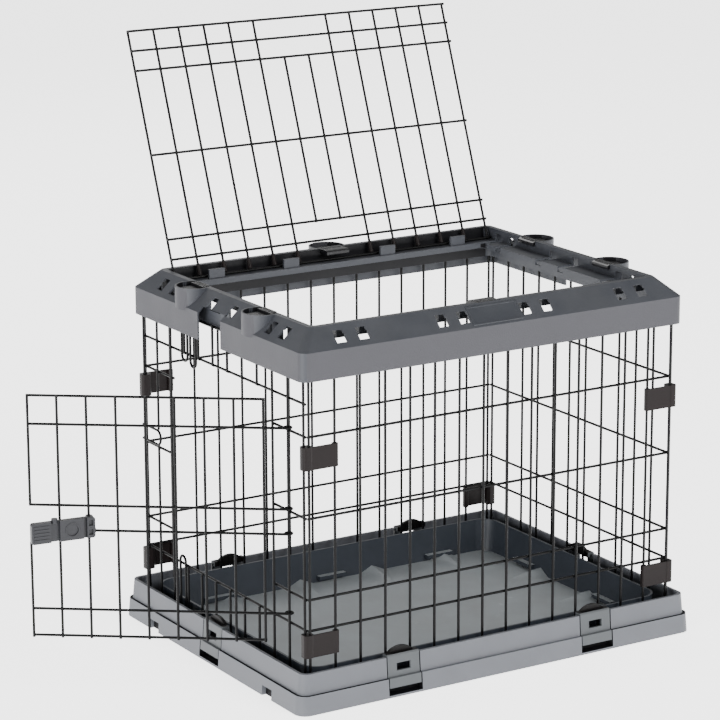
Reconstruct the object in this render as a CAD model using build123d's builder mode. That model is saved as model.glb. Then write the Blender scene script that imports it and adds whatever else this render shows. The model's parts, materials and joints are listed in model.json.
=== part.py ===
"""Folding wire dog crate: moulded base tray, four wire panels, moulded top frame, lid and side door.

Frame: origin at the centre of the tray's underside, +X along the long side, -Y the front long side,
+Z up.  The door is in the short side at -X, and the lid hinges on the back long side.
Everything is in millimetres.
"""
from build123d import *
from math import atan2, cos, degrees, radians, sin
import os

# ---------------------------------------------------------------- overall size
LENGTH = 620.0            # tray, along X
WIDTH = 480.0             # tray, along Y
WIRE_R = 1.75             # every wire's radius
WELD = 0.2                # how far two crossing wires sink into each other
CROSS = 2 * WIRE_R - WELD  # axis to axis of two crossing wires
RUN_GAP = 0.4             # clearance round a sliding or turning piece

# ---------------------------------------------------------------- base tray
TRAY_STEP_Z = 25.5        # top of the lower band
TRAY_TOP_Z = 52.8         # top of the outer wall
TRAY_BAND_IN = 1.9        # draft of the lower band
TRAY_STEP_IN = 5.5        # inset of the upper band at the step
TRAY_TOP_IN = 7.7         # inset of the upper band at the top
TRAY_CORNER_R = 16.0
TRAY_WALL = 3.0
GROOVE_FLOOR_Z = 12.0
GROOVE_INNER_IN = 31.0    # inset of the groove's inner side at the top
GROOVE_DRAFT = 6.0
UNDER_IN = 18.0           # inset of the hollow under the groove
PAN_TOP_Z = 50.0
PAN_FLOOR_Z = 5.0

# ---------------------------------------------------------------- wire panels
PANEL_IN = 24.0           # inset of each panel's upright wires
CORNER_SHIFT = 4.7        # how far a panel's end wire stands in from its neighbour's plane
LONG_BAYS = 15
SHORT_BAYS = 11
PANEL_FOOT_Z = 13.0
PANEL_HEAD_Z = 454.0
ROW_Z = (20.0, 102.5, 143.7, 250.7, 357.2, 451.0)
DOORWAY_SILL_Z = ROW_Z[1]
DOORWAY_HEAD_Z = 399.5
DOORWAY_FIRST = 2         # the doorway lies between these two upright wires
DOORWAY_LAST = 9

LONG_END = LENGTH / 2 - PANEL_IN - CORNER_SHIFT
SHORT_END = WIDTH / 2 - PANEL_IN - CORNER_SHIFT
LONG_PITCH = 2 * LONG_END / LONG_BAYS
SHORT_PITCH = 2 * SHORT_END / SHORT_BAYS
SHORT_ROW_END = SHORT_END - 0.7   # the short sides' rows stop clear of the long sides' rows

# ---------------------------------------------------------------- corner clips
CLIP_HEIGHT = 30.0
CLIP_Z = (84.0, 331.0)
CLIP_BORE_R = WIRE_R + 0.2

# ---------------------------------------------------------------- top frame
SKIRT_Z = 431.0
FOLD_Z = 468.0
RIM_Z = 493.0
SKIRT_IN = 15.0
RIM_IN = 42.0
INNER_IN = 50.0           # inset of the opening's upright wall
LEDGE_IN = 75.0           # inset of the ledge's free edge
LEDGE_Z = 477.0
FRAME_WALL = 2.5
LOWER_WALL_IN = 32.5
LOWER_WALL_Z = 446.0
SLOPE_ANGLE = degrees(atan2(RIM_Z - FOLD_Z, RIM_IN - SKIRT_IN))
WELL_R = 25.5
WELL_IN = 36.0            # inset of a finger well's centre
WELL_FOOT_Z = 464.0
WELL_FLOOR_Z = 471.0
SIDE_LATCH_OFFSET = 88.0
LATCH_WIDTH = 36.0
LATCH_LOW_Z = 485.5
LATCH_TOP_Z = 492.6
WINDOW_SIZE = (15.0, 19.0)
LONG_WINDOWS = (-232.5, -199.0, -80.5, -48.0, 48.0, 80.5, 199.0, 232.5)
SHORT_WINDOWS = (-160.0, -126.0, -26.5, 26.5, 126.0, 160.0)
BADGE = (78.0, 30.0, 1.6)

# ---------------------------------------------------------------- lid
LID_HINGE_Y = 176.0
LID_HINGE_Z = LEDGE_Z + 2.8
LID_OPEN = 110.9          # degrees from shut to the pose that is modelled
LID_HALF = 253.5
LID_BAYS = 13
LID_ROWS = (0.0, 28.0, 55.5, 172.0, 288.5, 316.0, 343.5)

# ---------------------------------------------------------------- door
DOOR_OPEN = 53.8          # degrees from shut to the pose that is modelled
DOOR_FIRST = 30.0         # hinge axis to the nearest upright
DOOR_PITCH = 37.3
DOOR_BAYS = 8
DOOR_ROWS = (81.0, 116.7, 222.6, 255.3, 361.7, 399.0)
HOOK_ROWS = DOOR_ROWS[1:5]
HOOK_R = 2 * WIRE_R + 0.7
HOOK_ARC = 262.0          # degrees of arc in each hook
HANDLE_Z = 231.0


# ================================================================= shared helpers
def wall_plane(side, along=0.0):
    """A plane on one outer side of the tray: x along the side, y inwards, z up."""
    sides = {
        "front": ((along, -WIDTH / 2, 0), (1, 0, 0)),
        "back": ((-along, WIDTH / 2, 0), (-1, 0, 0)),
        "left": ((-LENGTH / 2, -along, 0), (0, -1, 0)),
        "right": ((LENGTH / 2, along, 0), (0, 1, 0)),
    }
    origin, x_dir = sides[side]
    return Plane(origin=origin, x_dir=x_dir, z_dir=(0, 0, 1))


def section_plane(plane):
    """The upright plane across a wall plane: x inwards, y up."""
    return Plane(origin=plane.origin, x_dir=plane.y_dir, z_dir=plane.x_dir)


def inset_sheet(inset, z, corner):
    """A rounded rectangle that stands inset from the tray's outline, at height z."""
    with BuildSketch(Plane.XY.offset(z)) as sheet:
        RectangleRounded(LENGTH - 2 * inset, WIDTH - 2 * inset, corner)
    return sheet.sketch


def ring_block(low, high, mode=Mode.ADD):
    """A block between two inset sheets, each given as (inset, z, corner radius)."""
    loft([inset_sheet(*low), inset_sheet(*high)], ruled=True, mode=mode)


def finish(builder, label):
    """Label a finished piece and write it."""
    builder.part.label = label
    export_step(builder.part, f"parts/{label}.step")


def rod(length, axis):
    """A wire along one of the active plane's own axes, centred on each location."""
    turn = {"x": (0, 90, 0), "y": (90, 0, 0), "z": (0, 0, 0)}[axis]
    Cylinder(WIRE_R, length, rotation=turn)


os.makedirs("parts", exist_ok=True)

# ================================================================= base tray
BASE_LATCH_WIDTH = 48.0
BASE_LATCH_GAP = 1.6
BASE_LATCH_FOOT_Z = 12.5
PIVOT_IN = 6.5
PIVOT_Z = 17.0
PIN_R = 1.8
CHEEK = 7.0
BASE_LATCHES = {
    "base_latch_front_left": ("front", -152.0),
    "base_latch_front_right": ("front", 152.0),
    "base_latch_back_left": ("back", 152.0),
    "base_latch_back_right": ("back", -152.0),
    "base_latch_left": ("left", 0.0),
    "base_latch_right": ("right", 0.0),
}

FOOT_NOTCH_Y = 153.0
FOOT_NOTCH_WIDTH = 24.0
FOOT_NOTCH_DEPTH = 6.5
FOOT_NOTCH_Z = 13.5
LONG_TABS = (-183.0, 0.0, 183.0)
SHORT_TABS = (-97.0, 97.0)
FLOOR_TAB_WIDTH = 44.0
LONG_RIDGES = (-170.0, -50.0, 70.0, 190.0)
SHORT_RIDGES = (-60.0, 60.0)
RIDGE_HALF = 24.0
RIDGE_HEIGHT = 9.0

with BuildPart() as base_tray:
    # outer block: lower band, step, upper band
    ring_block((0, 0, TRAY_CORNER_R), (TRAY_BAND_IN, TRAY_STEP_Z, TRAY_CORNER_R - 1))
    ring_block((TRAY_STEP_IN, TRAY_STEP_Z, TRAY_CORNER_R - 3), (TRAY_TOP_IN, TRAY_TOP_Z, TRAY_CORNER_R - 4))
    # space behind the outer wall, with a narrower mouth at the rim
    ring_block((TRAY_WALL + 1, GROOVE_FLOOR_Z, 12), (TRAY_WALL + 2, TRAY_STEP_Z - 3, 12), Mode.SUBTRACT)
    ring_block((8.7, TRAY_STEP_Z - 3, 11), (10.7, TRAY_TOP_Z - TRAY_WALL, 11), Mode.SUBTRACT)
    ring_block((12, TRAY_TOP_Z - TRAY_WALL, 10), (12, TRAY_TOP_Z + 1, 10), Mode.SUBTRACT)
    # inner pan with sloping walls
    pan_foot = GROOVE_INNER_IN + GROOVE_DRAFT
    ring_block((pan_foot, GROOVE_FLOOR_Z, 24), (GROOVE_INNER_IN, PAN_TOP_Z, 26))
    pan_mouth = GROOVE_INNER_IN + TRAY_WALL
    ring_block((pan_foot + 5, PAN_FLOOR_Z, 20), (pan_mouth, PAN_TOP_Z + 1, 23), Mode.SUBTRACT)
    # hollow underneath the groove
    with BuildSketch(Plane.XY) as under_groove:
        RectangleRounded(LENGTH - 2 * UNDER_IN, WIDTH - 2 * UNDER_IN, 10)
        RectangleRounded(LENGTH - 2 * pan_foot, WIDTH - 2 * pan_foot, 20, mode=Mode.SUBTRACT)
    extrude(amount=GROOVE_FLOOR_Z - TRAY_WALL, mode=Mode.SUBTRACT)
    # foot notches in the short sides, either side of the latch
    with GridLocations(LENGTH, 2 * FOOT_NOTCH_Y, 2, 2):
        Box(2 * FOOT_NOTCH_DEPTH, FOOT_NOTCH_WIDTH, 2 * FOOT_NOTCH_Z, mode=Mode.SUBTRACT)
    # latch bays: the outer wall is open from the finger gap to the rim, between two pivot cheeks
    for side, along in BASE_LATCHES.values():
        bay = wall_plane(side, along)
        bay_width = BASE_LATCH_WIDTH + 2 * BASE_LATCH_GAP
        with Locations(bay.location * Location((0, 6, 3 + (TRAY_TOP_Z - 3) / 2 + 1))):
            Box(bay_width, 12.1, TRAY_TOP_Z - 1, mode=Mode.SUBTRACT)
        for end in (-1, 1):
            cheek_x = end * (bay_width + CHEEK) / 2
            with Locations(bay.location * Location((cheek_x, PIVOT_IN, PIVOT_Z - 1.0))):
                Box(CHEEK, 7.5, 9.9)
            with Locations(bay.location * Location((cheek_x, PIVOT_IN, PIVOT_Z), (0, 90, 0))):
                Cylinder(PIN_R + RUN_GAP, CHEEK + 1, mode=Mode.SUBTRACT)
    # low ridges that run in from the pan's walls and die out on its floor
    for side, places, reach in (
        ("front", LONG_RIDGES, 108.0), ("back", [-x for x in LONG_RIDGES], 108.0),
        ("left", SHORT_RIDGES, 122.0), ("right", SHORT_RIDGES, 122.0),
    ):
        for along in places:
            ridge = wall_plane(side, along)
            root_plane = Plane(ridge.origin + ridge.y_dir * 39.5, x_dir=ridge.x_dir, z_dir=ridge.y_dir * -1)
            with BuildSketch(root_plane) as root:
                with BuildLine():
                    Polyline((-RIDGE_HALF, PAN_FLOOR_Z - 1), (RIDGE_HALF, PAN_FLOOR_Z - 1),
                             (0, PAN_FLOOR_Z + RIDGE_HEIGHT), close=True)
                make_face()
            tip = Vertex(*(ridge.origin + ridge.y_dir * reach + Vector(0, 0, PAN_FLOOR_Z - 0.6)))
            loft([root.sketch.face(), tip])
    # small ledge tabs where the pan's wall meets its floor
    for side, places in (("front", LONG_TABS), ("back", LONG_TABS),
                         ("left", SHORT_TABS), ("right", SHORT_TABS)):
        for along in places:
            with Locations(wall_plane(side, along).location * Location((0, 44, 12))):
                Box(FLOOR_TAB_WIDTH, 10, 5)
finish(base_tray, "base_tray")

# ================================================================= base latches
BASE_LATCH_SECTION = (
    (1.0, BASE_LATCH_FOOT_Z), (1.9, TRAY_STEP_Z), (5.5, TRAY_STEP_Z + 1), (7.7, TRAY_TOP_Z + 0.7),
    (9.2, TRAY_TOP_Z + 2.7), (19.0, TRAY_TOP_Z + 2.7), (19.0, TRAY_TOP_Z - 4), (14.4, TRAY_TOP_Z - 4),
    (14.4, TRAY_TOP_Z - 0.4), (10.9, TRAY_TOP_Z - 1.5), (8.7, TRAY_STEP_Z + 4), (9.6, TRAY_STEP_Z - 5),
    (9.6, BASE_LATCH_FOOT_Z),
)
for name, (side, along) in BASE_LATCHES.items():
    seat = wall_plane(side, along)
    with BuildPart() as base_latch:
        # plate that follows the stepped wall, bridges the rim and hooks down inside it
        with BuildSketch(section_plane(seat)):
            with BuildLine():
                Polyline(*BASE_LATCH_SECTION, close=True)
            make_face()
        extrude(amount=BASE_LATCH_WIDTH / 2, both=True)
        # slot for a fingertip
        with Locations(seat.location * Location((0, 6, 38.2))):
            Box(21, 14, 10, mode=Mode.SUBTRACT)
        # domed lug behind the rim
        dome = Plane(origin=seat.origin + seat.y_dir * 14.6, x_dir=seat.x_dir, z_dir=seat.y_dir * -1)
        with BuildSketch(dome):
            with BuildLine():
                foot = Line((-21, TRAY_TOP_Z + 1), (21, TRAY_TOP_Z + 1))
                ThreePointArc(foot @ 1, (0, TRAY_TOP_Z + 10.5), foot @ 0)
            make_face()
        extrude(amount=-4.2)
        for rib in (-10, 0, 10):
            with Locations(seat.location * Location((rib, 19.3, TRAY_TOP_Z + 2.5))):
                Box(2.4, 1.4, 9)
        # pivot pins
        for end in (-1, 1):
            pin_x = end * (BASE_LATCH_WIDTH / 2 + 2.5)
            with Locations(seat.location * Location((pin_x, PIVOT_IN, PIVOT_Z), (0, 90, 0))):
                Cylinder(PIN_R, 6)
    finish(base_latch, name)


# ================================================================= wire panels
def upright(x, low, high):
    """Place one upright wire of a panel."""
    with Locations((x, PANEL_IN, (low + high) / 2)):
        rod(high - low, "z")


def row_spans(z, spans):
    """Place the level wires of a panel at height z; each span is (from, to) along the side."""
    for start, stop in spans:
        with Locations(((start + stop) / 2, PANEL_IN + CROSS, z)):
            rod(stop - start, "x")


for name, side in (("panel_front", "front"), ("panel_back", "back")):
    with BuildPart(wall_plane(side)) as long_panel:
        uprights = [(-LONG_END + i * LONG_PITCH, PANEL_IN, (PANEL_FOOT_Z + PANEL_HEAD_Z) / 2)
                    for i in range(LONG_BAYS + 1)]
        with Locations(*uprights):
            rod(PANEL_HEAD_Z - PANEL_FOOT_Z, "z")
        with Locations(*[(0, PANEL_IN + CROSS, z) for z in ROW_Z]):
            rod(2 * LONG_END, "x")
    finish(long_panel, name)

with BuildPart(wall_plane("right")) as panel_right:
    uprights = [(-SHORT_END + i * SHORT_PITCH, PANEL_IN, (PANEL_FOOT_Z + PANEL_HEAD_Z) / 2)
                for i in range(SHORT_BAYS + 1)]
    with Locations(*uprights):
        rod(PANEL_HEAD_Z - PANEL_FOOT_Z, "z")
    with Locations(*[(0, PANEL_IN + CROSS, z) for z in ROW_Z]):
        rod(2 * SHORT_ROW_END, "x")
finish(panel_right, "panel_right")

# the door side: wire i stands at -side_x(i) in the wall plane, so i = 0 is the front corner
SIDE_X = [SHORT_END - i * SHORT_PITCH for i in range(SHORT_BAYS + 1)]
CATCH_LOW_Z = 257.0
CATCH_HIGH_Z = 277.0
CATCH_WIRE = SHORT_BAYS - 1
CATCH_TIP = SIDE_X[-1] + 50
LOOP_WIDTH = 15.0
GUIDE_LOOPS = ((-95.0, ROW_Z[-1], 390.0), (-72.0, ROW_Z[-1], 386.0), (-110.0, ROW_Z[0], 115.0))
with BuildPart(wall_plane("left")) as panel_door_side:
    for i, x in enumerate(SIDE_X):
        if i <= DOORWAY_FIRST or i >= DOORWAY_LAST:
            if i == CATCH_WIRE:
                upright(x, PANEL_FOOT_Z, CATCH_LOW_Z)
                upright(x, CATCH_HIGH_Z, PANEL_HEAD_Z)
            else:
                upright(x, PANEL_FOOT_Z, PANEL_HEAD_Z)
        else:
            upright(x, PANEL_FOOT_Z, DOORWAY_SILL_Z)
            upright(x, DOORWAY_HEAD_Z, PANEL_HEAD_Z)
    full_span = (-SHORT_ROW_END, SHORT_ROW_END)
    for z in (ROW_Z[0], DOORWAY_SILL_Z, DOORWAY_HEAD_Z, ROW_Z[-1]):
        row_spans(z, (full_span,))
    near_span = (SIDE_X[DOORWAY_FIRST] - WIRE_R, full_span[1])
    far_span = (full_span[0], SIDE_X[DOORWAY_LAST] + WIRE_R)
    for z in ROW_Z[2:5]:
        row_spans(z, (near_span, far_span))
    # catch: a hairpin of wire between the last two uprights, reaching towards the doorway
    door_wall = wall_plane("left")
    catch_face = Plane(origin=door_wall.origin + door_wall.y_dir * (PANEL_IN - CROSS),
                       x_dir=door_wall.x_dir, z_dir=door_wall.y_dir * -1)
    loop_face = Plane(origin=door_wall.origin + door_wall.y_dir * PANEL_IN,
                      x_dir=door_wall.x_dir, z_dir=door_wall.y_dir * -1)
    with BuildLine(catch_face) as catch_line:
        catch_low = Line((SIDE_X[-1], CATCH_LOW_Z), (CATCH_TIP - 8, CATCH_LOW_Z))
        catch_high = Line((CATCH_TIP - 8, CATCH_HIGH_Z), (SIDE_X[-1], CATCH_HIGH_Z))
        ThreePointArc(catch_low @ 1, (CATCH_TIP, (CATCH_LOW_Z + CATCH_HIGH_Z) / 2), catch_high @ 0)
    with BuildSketch(Plane(origin=catch_line.line @ 0, z_dir=catch_line.line % 0)):
        Circle(WIRE_R)
    sweep(path=catch_line.line)
    # guide loops, above the doorway and below it: (middle, foot height, bend height)
    for loop_x, stem_z, bend_z in GUIDE_LOOPS:
        turn = 1 if bend_z > stem_z else -1
        shoulder_z = bend_z - turn * LOOP_WIDTH / 2
        with BuildLine(loop_face) as loop_line:
            leg_out = Line((loop_x - LOOP_WIDTH / 2, stem_z), (loop_x - LOOP_WIDTH / 2, shoulder_z))
            leg_back = Line((loop_x + LOOP_WIDTH / 2, shoulder_z), (loop_x + LOOP_WIDTH / 2, stem_z))
            ThreePointArc(leg_out @ 1, (loop_x, bend_z), leg_back @ 0)
        with BuildSketch(Plane(origin=loop_line.line @ 0, z_dir=loop_line.line % 0)):
            Circle(WIRE_R)
        sweep(path=loop_line.line)
finish(panel_door_side, "panel_door_side")

# ================================================================= corner clips
for corner, (x_sign, y_sign) in {
    "front_left": (-1, -1), "front_right": (1, -1), "back_left": (-1, 1), "back_right": (1, 1),
}.items():
    for level, z in zip(("low", "high"), CLIP_Z):
        long_wire = (x_sign * LONG_END, y_sign * (WIDTH / 2 - PANEL_IN))
        short_wire = (x_sign * (LENGTH / 2 - PANEL_IN), y_sign * SHORT_END)
        second_wire = (x_sign * (LONG_END - LONG_PITCH), long_wire[1])
        plate_y = long_wire[1] + y_sign * 2.9
        with BuildPart() as corner_clip:
            with BuildSketch(Plane.XY.offset(z - CLIP_HEIGHT / 2)):
                # barrel round both corner wires
                with Locations(((long_wire[0] + short_wire[0]) / 2, (long_wire[1] + short_wire[1]) / 2)):
                    RectangleRounded(14.4, 14.4, 5)
                # plate along the outside of the long panel
                with Locations(((long_wire[0] + second_wire[0]) / 2, plate_y)):
                    Rectangle(LONG_PITCH + 5, 2.4)
                # wrap round the long panel's second wire
                with Locations((second_wire[0], second_wire[1] + y_sign * 0.6)):
                    RectangleRounded(7.4, 7.0, 2)
                with Locations(long_wire, short_wire, second_wire):
                    Circle(CLIP_BORE_R, mode=Mode.SUBTRACT)
            extrude(amount=CLIP_HEIGHT)
        finish(corner_clip, f"corner_clip_{corner}_{level}")

# ================================================================= top frame
NOTCH_WIDTH = 60.0
NOTCH_SHIFT = -12.0
NOTCH_TOP_Z = 475.0
LOWER_WALL_TOP_Z = 482.0
REVEAL_CUT = (28.0, 6.0, 13.0)      # behind a window, through the lower inner wall
SIGHT_CUT = (50.0, 17.0)            # behind a window, through the upright wall and the ledge
HINGE_TAB = (24.0, 4.0, 14.0)
RAIL_DEPTH = 6.0
TAB_ALONG = (-LID_HALF + 1.5 * 2 * LID_HALF / LID_BAYS, -LID_HALF + 4.5 * 2 * LID_HALF / LID_BAYS)
WELL_TAIL_IN = 20.0       # inset of a side latch's thumb rest
BACK_TAIL_IN = 26.0
GRIP_RIBS = 3
GRIP_PITCH = 3.2
GRIP_RIB = (LATCH_WIDTH - 8, 1.3, 1.4)
SIDE_REACH = 4.2          # how far a lid latch stands out past the upright wall
END_REACH = 17.0
LATCH_SEATS = {           # side, place along it, reach, inset of the tail
    "lid_latch_left_front": ("left", SIDE_LATCH_OFFSET, SIDE_REACH, WELL_TAIL_IN),
    "lid_latch_left_back": ("left", -SIDE_LATCH_OFFSET, SIDE_REACH, WELL_TAIL_IN),
    "lid_latch_right_front": ("right", -SIDE_LATCH_OFFSET, SIDE_REACH, WELL_TAIL_IN),
    "lid_latch_right_back": ("right", SIDE_LATCH_OFFSET, SIDE_REACH, WELL_TAIL_IN),
    "lid_latch_front": ("front", 0.0, END_REACH, RIM_IN + RUN_GAP),
    "lid_latch_back": ("back", 0.0, END_REACH, BACK_TAIL_IN),
}

with BuildPart() as top_frame:
    # skirt and sloping face, hollowed from below
    ring_block((SKIRT_IN, SKIRT_Z, 12), (SKIRT_IN, FOLD_Z, 12))
    ring_block((SKIRT_IN, FOLD_Z, 12), (RIM_IN, RIM_Z, 9))
    hollow_in = SKIRT_IN + FRAME_WALL
    ring_block((hollow_in, SKIRT_Z - 1, 10), (hollow_in, FOLD_Z - 1.2, 10), Mode.SUBTRACT)
    ring_block((hollow_in, FOLD_Z - 1.2, 10), (RIM_IN + 1.3, RIM_Z - FRAME_WALL, 8), Mode.SUBTRACT)
    # finger wells stand on the slope
    well_seats = [seat for seat in LATCH_SEATS.values() if seat[0] != "front"]
    well_points = [wall_plane(side, along).location * Location((0, WELL_IN, 0))
                   for side, along, _, _ in well_seats]
    for point in well_points:
        with Locations(point * Location((0, 0, (WELL_FOOT_Z + RIM_Z) / 2))):
            Cylinder(WELL_R, RIM_Z - WELL_FOOT_Z)
        with Locations(point * Location((0, 0, (WELL_FLOOR_Z + RIM_Z + 1) / 2))):
            Cylinder(WELL_R - 2.4, RIM_Z + 1 - WELL_FLOOR_Z, mode=Mode.SUBTRACT)
        with Locations(point * Location((0, 0, (WELL_FOOT_Z + WELL_FLOOR_Z - FRAME_WALL) / 2 - 0.5))):
            Cylinder(WELL_R - 2.4, WELL_FLOOR_Z - FRAME_WALL - WELL_FOOT_Z + 1, mode=Mode.SUBTRACT)
    # opening, its upright wall and the ledge that carries the shut lid
    with BuildSketch(Plane.XY.offset(SKIRT_Z - 1)):
        RectangleRounded(LENGTH - 2 * INNER_IN, WIDTH - 2 * INNER_IN, 6)
    extrude(amount=RIM_Z - SKIRT_Z + 2, mode=Mode.SUBTRACT)
    with BuildSketch(Plane.XY.offset(LEDGE_Z - FRAME_WALL)):
        RectangleRounded(LENGTH - 2 * INNER_IN + 2 * FRAME_WALL, WIDTH - 2 * INNER_IN + 2 * FRAME_WALL, 8)
        RectangleRounded(LENGTH - 2 * INNER_IN, WIDTH - 2 * INNER_IN, 6, mode=Mode.SUBTRACT)
    extrude(amount=RIM_Z - LEDGE_Z + FRAME_WALL)
    with BuildSketch(Plane.XY.offset(LEDGE_Z - FRAME_WALL)):
        RectangleRounded(LENGTH - 2 * INNER_IN + 2, WIDTH - 2 * INNER_IN + 2, 7)
        RectangleRounded(LENGTH - 2 * LEDGE_IN, WIDTH - 2 * LEDGE_IN, 5, mode=Mode.SUBTRACT)
    extrude(amount=FRAME_WALL)
    with BuildSketch(Plane.XY.offset(LEDGE_Z - 8)):
        RectangleRounded(LENGTH - 2 * LEDGE_IN + 2 * FRAME_WALL, WIDTH - 2 * LEDGE_IN + 2 * FRAME_WALL, 7)
        RectangleRounded(LENGTH - 2 * LEDGE_IN, WIDTH - 2 * LEDGE_IN, 5, mode=Mode.SUBTRACT)
    extrude(amount=8)
    # lower inner wall, behind the panels' top wires
    with BuildSketch(Plane.XY.offset(LOWER_WALL_Z)):
        RectangleRounded(LENGTH - 2 * LOWER_WALL_IN, WIDTH - 2 * LOWER_WALL_IN, 9)
        RectangleRounded(LENGTH - 2 * LOWER_WALL_IN - 2 * FRAME_WALL,
                         WIDTH - 2 * LOWER_WALL_IN - 2 * FRAME_WALL, 7, mode=Mode.SUBTRACT)
    extrude(amount=LOWER_WALL_TOP_Z - LOWER_WALL_Z)
    # windows through the slope; on three sides they go on through the upright wall and the ledge
    for side, places in (("front", LONG_WINDOWS), ("back", LONG_WINDOWS),
                         ("left", SHORT_WINDOWS), ("right", SHORT_WINDOWS)):
        face = wall_plane(side)
        middle = (SKIRT_IN + RIM_IN) / 2
        for at in places:
            with Locations(face.location * Location((at, middle, (FOLD_Z + RIM_Z) / 2), (SLOPE_ANGLE, 0, 0))):
                Box(WINDOW_SIZE[0], WINDOW_SIZE[1], 12, mode=Mode.SUBTRACT)
            with Locations(face.location * Location((at, LOWER_WALL_IN + 1.25, 475.5))):
                Box(*REVEAL_CUT, mode=Mode.SUBTRACT)
            if side != "back":
                with Locations(face.location * Location((at, 53, 478))):
                    Box(WINDOW_SIZE[0] - 1, *SIGHT_CUT, mode=Mode.SUBTRACT)
    # notch in the short sides' skirt
    for side, shift in (("left", NOTCH_SHIFT), ("right", -NOTCH_SHIFT)):
        notch_middle = Location((shift, SKIRT_IN + 5, (SKIRT_Z + NOTCH_TOP_Z) / 2 - 1))
        with Locations(wall_plane(side).location * notch_middle):
            Box(NOTCH_WIDTH, 14, NOTCH_TOP_Z - SKIRT_Z + 2, mode=Mode.SUBTRACT)
    # latch ways across the rim
    way_low = LATCH_LOW_Z - RUN_GAP
    for side, along, _, _ in LATCH_SEATS.values():
        way = wall_plane(side, along)
        way_start = RIM_IN if side == "front" else RIM_IN - 3
        way_end = INNER_IN + 5
        with Locations(way.location * Location((0, (way_start + way_end) / 2, (way_low + RIM_Z + 1) / 2))):
            Box(LATCH_WIDTH + 2 * RUN_GAP, way_end - way_start, RIM_Z + 1 - way_low, mode=Mode.SUBTRACT)
    # rail under each latch, from the well's floor up
    for side, along, _, _ in LATCH_SEATS.values():
        way = wall_plane(side, along)
        with Locations(way.location * Location((0, INNER_IN - 5.5, (LEDGE_Z - 2 + way_low) / 2))):
            Box(LATCH_WIDTH + 2 * RUN_GAP, RAIL_DEPTH, way_low - LEDGE_Z + 2)
    # tabs that keep the lid's hinge wire in its channel
    for along in TAB_ALONG:
        for sign in (-1, 1):
            with Locations((sign * along, LID_HINGE_Y - 6.5, LEDGE_Z + 6.0)):
                Box(*HINGE_TAB)
    # seat for the badge
    with Locations(wall_plane("front").location
                   * Location((0, (SKIRT_IN + RIM_IN) / 2, (FOLD_Z + RIM_Z) / 2), (SLOPE_ANGLE, 0, 0))):
        Box(BADGE[0] + 0.4, BADGE[1] + 0.4, 1.6, mode=Mode.SUBTRACT)
finish(top_frame, "top_frame")

# ================================================================= badge
badge_seat = (wall_plane("front").location
              * Location((0, (SKIRT_IN + RIM_IN) / 2, (FOLD_Z + RIM_Z) / 2), (SLOPE_ANGLE, 0, 0)))
with BuildPart() as badge_plate:
    with Locations(badge_seat):
        Box(BADGE[0], BADGE[1], BADGE[2], align=(Align.CENTER, Align.CENTER, Align.MIN))
    badge_normal = Vector(0, -sin(radians(SLOPE_ANGLE)), cos(radians(SLOPE_ANGLE)))
    chamfer(badge_plate.faces().sort_by(Axis((0, 0, 0), tuple(badge_normal)))[-1].edges(), 0.7)
badge_plate.part.locate(Location(badge_normal * -0.75))
finish(badge_plate, "badge_plate")

# ================================================================= lid latches
for name, (side, along, reach, tail) in LATCH_SEATS.items():
    way = wall_plane(side, along)
    nose = INNER_IN + reach
    nose_outline = [(nose - 1, LATCH_LOW_Z), (nose, LATCH_LOW_Z + 2), (nose, LATCH_TOP_Z - 2),
                    (nose - 4, LATCH_TOP_Z)]
    if side == "front":
        tail_outline = [(tail, LATCH_TOP_Z), (tail, LATCH_LOW_Z)]
    else:
        tail_outline = [(INNER_IN - 9, LATCH_TOP_Z), (INNER_IN - 10, LATCH_LOW_Z + 3),
                        (tail, LATCH_LOW_Z + 3), (tail, LATCH_LOW_Z)]
    with BuildPart() as lid_latch:
        with BuildSketch(section_plane(way)):
            with BuildLine():
                Polyline(*nose_outline, *tail_outline, close=True)
            make_face()
        extrude(amount=LATCH_WIDTH / 2, both=True)
        # grip ribs on the slider's top
        for rib in range(GRIP_RIBS):
            with Locations(way.location * Location((0, INNER_IN - 6 + rib * GRIP_PITCH, LATCH_TOP_Z))):
                Box(*GRIP_RIB)
        if side != "front":
            # thumb rest inside the well, with rounded far corners
            fillet(lid_latch.edges().filter_by(Axis.Z).group_by(
                Axis(way.origin, way.y_dir))[0], 10)
    finish(lid_latch, name)

# ================================================================= lid
lean = radians(LID_OPEN - 90)
lid_plane = Plane(origin=(0, LID_HINGE_Y, LID_HINGE_Z), x_dir=(1, 0, 0), z_dir=(0, -cos(lean), sin(lean)))
LID_PITCH = 2 * LID_HALF / LID_BAYS
GAP_WIRES = (LID_BAYS // 2, LID_BAYS // 2 + 1)
with BuildPart(lid_plane) as lid_grille:
    long_wires = [i for i in range(LID_BAYS + 1) if i not in GAP_WIRES]
    wire_length = LID_ROWS[-1] + WIRE_R
    with Locations(*[(-LID_HALF + i * LID_PITCH, wire_length / 2, -CROSS) for i in long_wires]):
        rod(wire_length, "y")
    gap_low, gap_high = LID_ROWS[2], LID_ROWS[4]
    with Locations(*[(-LID_HALF + i * LID_PITCH, (gap_low + gap_high) / 2, -CROSS) for i in GAP_WIRES]):
        rod(gap_high - gap_low + 2 * WIRE_R, "y")
    with Locations(*[(0, s, 0) for s in LID_ROWS]):
        rod(2 * LID_HALF + 2 * WIRE_R, "x")
finish(lid_grille, "lid_grille")

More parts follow.
